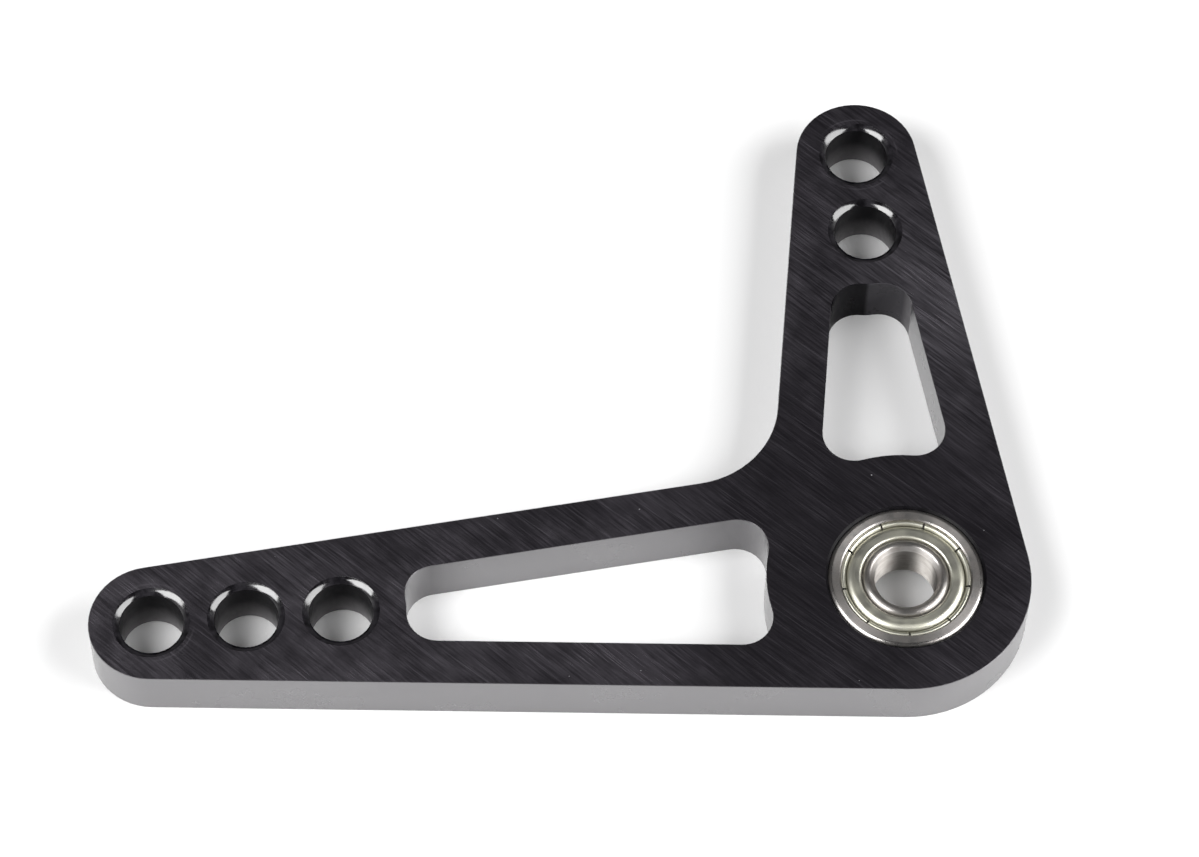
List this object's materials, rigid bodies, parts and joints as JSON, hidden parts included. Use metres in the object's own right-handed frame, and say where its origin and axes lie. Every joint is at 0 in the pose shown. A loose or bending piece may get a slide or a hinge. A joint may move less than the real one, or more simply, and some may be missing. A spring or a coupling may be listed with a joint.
{
  "type": "bellcrank",
  "caption": "Flat right-angled bellcrank plate with unequal tapered arms, lightening pockets, rod holes along each arm and a shielded ball bearing at the pivot.",
  "frame": {"origin": "on the pivot axis, at the middle of the plate's thickness", "axes": "+Z along the pivot axis towards the face that the bearing is fitted from; the long arm runs along -X and the short arm along +Y"},
  "size_m": [0.0952, 0.0698, 0.0064],
  "materials": {
    "anodised_plate": "black anodised, fine machining lines, satin sides",
    "ring_steel": "ground bearing steel",
    "shield_steel": "zinc-toned pressed sheet",
    "cage_steel": "pressed sheet",
    "ball_steel": "polished"
  },
  "bodies": {
    "crank": {"crank_plate": "anodised_plate", "bearing_outer_ring": "ring_steel", "upper_shield": "shield_steel", "lower_shield": "shield_steel"},
    "inner_ring": {"bearing_inner_ring": "ring_steel"},
    "cage": {"cage_upper": "cage_steel", "cage_lower": "cage_steel", "cage_rivets": "cage_steel"},
    "ball_1": {"ball_1": "ball_steel"},
    "ball_2": {"ball_2": "ball_steel"},
    "ball_3": {"ball_3": "ball_steel"},
    "ball_4": {"ball_4": "ball_steel"},
    "ball_5": {"ball_5": "ball_steel"},
    "ball_6": {"ball_6": "ball_steel"},
    "ball_7": {"ball_7": "ball_steel"},
    "ball_8": {"ball_8": "ball_steel"}
  },
  "joints": [
    {"name": "inner_ring_spin", "type": "hinge", "parent": "crank", "child": "inner_ring", "pos_m": [0, 0, 0.00064], "axis": [0, 0, 1], "continuous": true},
    {"name": "cage_spin", "type": "hinge", "parent": "crank", "child": "cage", "pos_m": [0, 0, 0.00064], "axis": [0, 0, 1], "continuous": true},
    {"name": "ball_1_spin", "type": "hinge", "parent": "cage", "child": "ball_1", "pos_m": [0.00556, 0, 0.00064], "axis": [0, 0, 1], "continuous": true},
    {"name": "ball_2_spin", "type": "hinge", "parent": "cage", "child": "ball_2", "pos_m": [0.00393, 0.00393, 0.00064], "axis": [0, 0, 1], "continuous": true},
    {"name": "ball_3_spin", "type": "hinge", "parent": "cage", "child": "ball_3", "pos_m": [0, 0.00556, 0.00064], "axis": [0, 0, 1], "continuous": true},
    {"name": "ball_4_spin", "type": "hinge", "parent": "cage", "child": "ball_4", "pos_m": [-0.00393, 0.00393, 0.00064], "axis": [0, 0, 1], "continuous": true},
    {"name": "ball_5_spin", "type": "hinge", "parent": "cage", "child": "ball_5", "pos_m": [-0.00556, 0, 0.00064], "axis": [0, 0, 1], "continuous": true},
    {"name": "ball_6_spin", "type": "hinge", "parent": "cage", "child": "ball_6", "pos_m": [-0.00393, -0.00393, 0.00064], "axis": [0, 0, 1], "continuous": true},
    {"name": "ball_7_spin", "type": "hinge", "parent": "cage", "child": "ball_7", "pos_m": [0, -0.00556, 0.00064], "axis": [0, 0, 1], "continuous": true},
    {"name": "ball_8_spin", "type": "hinge", "parent": "cage", "child": "ball_8", "pos_m": [0.00393, -0.00393, 0.00064], "axis": [0, 0, 1], "continuous": true}
  ],
  "couplings": [
    {"joint": "cage_spin", "follows": "inner_ring_spin", "ratio": 0.39286},
    {"joint": "ball_1_spin", "follows": "inner_ring_spin", "ratio": -2.2262},
    {"joint": "ball_2_spin", "follows": "inner_ring_spin", "ratio": -2.2262},
    {"joint": "ball_3_spin", "follows": "inner_ring_spin", "ratio": -2.2262},
    {"joint": "ball_4_spin", "follows": "inner_ring_spin", "ratio": -2.2262},
    {"joint": "ball_5_spin", "follows": "inner_ring_spin", "ratio": -2.2262},
    {"joint": "ball_6_spin", "follows": "inner_ring_spin", "ratio": -2.2262},
    {"joint": "ball_7_spin", "follows": "inner_ring_spin", "ratio": -2.2262},
    {"joint": "ball_8_spin", "follows": "inner_ring_spin", "ratio": -2.2262}
  ]
}
